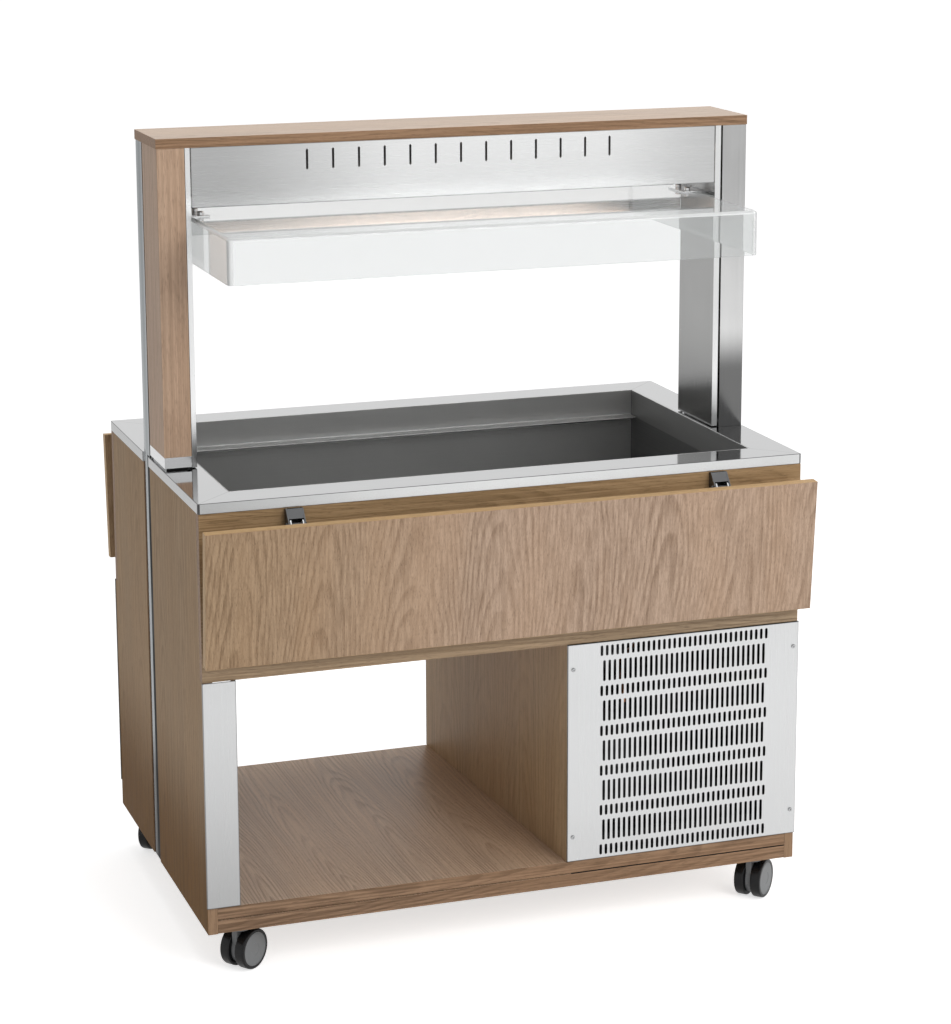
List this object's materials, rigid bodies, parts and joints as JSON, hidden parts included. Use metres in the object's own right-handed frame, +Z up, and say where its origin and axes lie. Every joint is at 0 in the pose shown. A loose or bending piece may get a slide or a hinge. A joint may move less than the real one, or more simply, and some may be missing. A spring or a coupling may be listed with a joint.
{
  "type": "mobile salad bar",
  "caption": "Wheeled wooden serving counter with a steel well, a lit bridge carrying a clear hood, hinged leaves along both long sides, an open bay and a grilled machine space.",
  "frame": {"origin": "on the floor under the middle of the cabinet, which is the middle of its bounding box", "axes": "+Z up, +X to the right and -Y to the front, seen from the side with the corner plate on the left and the grille on the right"},
  "size_m": [1.156, 0.8544, 1.484],
  "materials": {
    "wood_board": "brown oak board with a fine dark grain, satin",
    "polished_steel": "stainless steel sheet polished to a mirror",
    "sheet_steel": "stainless steel sheet, fine satin",
    "white_enamel": "white gloss enamel",
    "lamp_glass": "warm white glowing glass",
    "clear_acrylic": "clear acrylic sheet with polished edges",
    "bright_steel": "bright zinc plate",
    "black_steel": "black satin coating",
    "black_enamel": "black enamel, satin",
    "fin_aluminium": "bare aluminium",
    "copper_pipe": "bare copper pipe",
    "grey_plastic": "grey moulded nylon",
    "wheel_rubber": "black tread round a plain grey hub disc"
  },
  "bodies": {
    "cabinet": {"side_panel_left_front": "wood_board", "side_panel_left_rear": "wood_board", "side_panel_right_front": "wood_board", "side_panel_right_rear": "wood_board", "apron_front": "wood_board", "apron_rear": "wood_board", "deck_board": "wood_board", "base_board": "wood_board", "partition": "wood_board", "post_casing_left": "wood_board", "post_casing_right": "wood_board", "top_board": "wood_board", "worktop": "polished_steel", "well_tub": "sheet_steel", "upright_left": "sheet_steel", "upright_right": "sheet_steel", "post_cover_left": "sheet_steel", "post_cover_right": "sheet_steel", "fascia_front": "sheet_steel", "fascia_rear": "sheet_steel", "grille_front": "sheet_steel", "grille_rear": "sheet_steel", "corner_plate_front": "sheet_steel", "corner_plate_rear": "sheet_steel", "lamp_tray": "white_enamel", "light_tube": "lamp_glass", "guard_hood": "clear_acrylic", "guard_bracket_left": "bright_steel", "guard_bracket_right": "bright_steel", "thumb_screw_1": "bright_steel", "thumb_screw_2": "bright_steel", "thumb_screw_3": "bright_steel", "thumb_screw_4": "bright_steel", "hinge_housing_front_left": "black_steel", "hinge_housing_front_right": "black_steel", "hinge_housing_rear_left": "black_steel", "hinge_housing_rear_right": "black_steel", "unit_frame": "black_enamel", "compressor": "black_enamel", "condenser": "fin_aluminium", "refrigerant_lines": "copper_pipe"},
    "leaf_front": {"leaf_front": "wood_board", "leaf_arm_front_left": "bright_steel", "leaf_arm_front_right": "bright_steel"},
    "leaf_rear": {"leaf_rear": "wood_board", "leaf_arm_rear_left": "bright_steel", "leaf_arm_rear_right": "bright_steel"},
    "fan": {"fan_blades": "fin_aluminium"},
    "caster_front_left": {"caster_body_front_left": "grey_plastic"},
    "wheel_front_left_a": {"wheel_front_left_a": "wheel_rubber"},
    "wheel_front_left_b": {"wheel_front_left_b": "wheel_rubber"},
    "caster_front_right": {"caster_body_front_right": "grey_plastic"},
    "wheel_front_right_a": {"wheel_front_right_a": "wheel_rubber"},
    "wheel_front_right_b": {"wheel_front_right_b": "wheel_rubber"},
    "caster_rear_right": {"caster_body_rear_right": "grey_plastic"},
    "wheel_rear_right_a": {"wheel_rear_right_a": "wheel_rubber"},
    "wheel_rear_right_b": {"wheel_rear_right_b": "wheel_rubber"},
    "caster_rear_left": {"caster_body_rear_left": "grey_plastic"},
    "wheel_rear_left_a": {"wheel_rear_left_a": "wheel_rubber"},
    "wheel_rear_left_b": {"wheel_rear_left_b": "wheel_rubber"}
  },
  "joints": [
    {"name": "leaf_front_hinge", "type": "hinge", "parent": "cabinet", "child": "leaf_front", "pos_m": [0, -0.3805, 0.834], "axis": [-1, 0, 0], "range_deg": [0, 94.6]},
    {"name": "leaf_rear_hinge", "type": "hinge", "parent": "cabinet", "child": "leaf_rear", "pos_m": [0, 0.3805, 0.834], "axis": [1, 0, 0], "range_deg": [0, 94.6]},
    {"name": "fan_spin", "type": "hinge", "parent": "cabinet", "child": "fan", "pos_m": [0.3425, 0.168, 0.288], "axis": [0, -1, 0], "continuous": true},
    {"name": "swivel_front_left", "type": "hinge", "parent": "cabinet", "child": "caster_front_left", "pos_m": [-0.507, -0.3215, 0.08], "axis": [0, 0, 1], "continuous": true},
    {"name": "spin_front_left_a", "type": "hinge", "parent": "caster_front_left", "child": "wheel_front_left_a", "pos_m": [-0.48744, -0.32728, 0.0375], "axis": [0.6088, -0.7934, 0], "continuous": true},
    {"name": "spin_front_left_b", "type": "hinge", "parent": "caster_front_left", "child": "wheel_front_left_b", "pos_m": [-0.50752, -0.30111, 0.0375], "axis": [0.6088, -0.7934, 0], "continuous": true},
    {"name": "swivel_front_right", "type": "hinge", "parent": "cabinet", "child": "caster_front_right", "pos_m": [0.507, -0.3215, 0.08], "axis": [0, 0, 1], "continuous": true},
    {"name": "spin_front_right_a", "type": "hinge", "parent": "caster_front_right", "child": "wheel_front_right_a", "pos_m": [0.52703, -0.32538, 0.0375], "axis": [0.682, -0.7314, 0], "continuous": true},
    {"name": "spin_front_right_b", "type": "hinge", "parent": "caster_front_right", "child": "wheel_front_right_b", "pos_m": [0.50452, -0.30125, 0.0375], "axis": [0.682, -0.7314, 0], "continuous": true},
    {"name": "swivel_rear_right", "type": "hinge", "parent": "cabinet", "child": "caster_rear_right", "pos_m": [0.507, 0.3215, 0.08], "axis": [0, 0, 1], "continuous": true},
    {"name": "spin_rear_right_a", "type": "hinge", "parent": "caster_rear_right", "child": "wheel_rear_right_a", "pos_m": [0.48739, 0.32711, 0.0375], "axis": [-0.6157, 0.788, 0], "continuous": true},
    {"name": "spin_rear_right_b", "type": "hinge", "parent": "caster_rear_right", "child": "wheel_rear_right_b", "pos_m": [0.5077, 0.30111, 0.0375], "axis": [-0.6157, 0.788, 0], "continuous": true},
    {"name": "swivel_rear_left", "type": "hinge", "parent": "cabinet", "child": "caster_rear_left", "pos_m": [-0.507, 0.3215, 0.08], "axis": [0, 0, 1], "continuous": true},
    {"name": "spin_rear_left_a", "type": "hinge", "parent": "caster_rear_left", "child": "wheel_rear_left_a", "pos_m": [-0.52738, 0.32256, 0.0375], "axis": [-0.7771, 0.6293, 0], "continuous": true},
    {"name": "spin_rear_left_b", "type": "hinge", "parent": "caster_rear_left", "child": "wheel_rear_left_b", "pos_m": [-0.50173, 0.30179, 0.0375], "axis": [-0.7771, 0.6293, 0], "continuous": true}
  ]
}
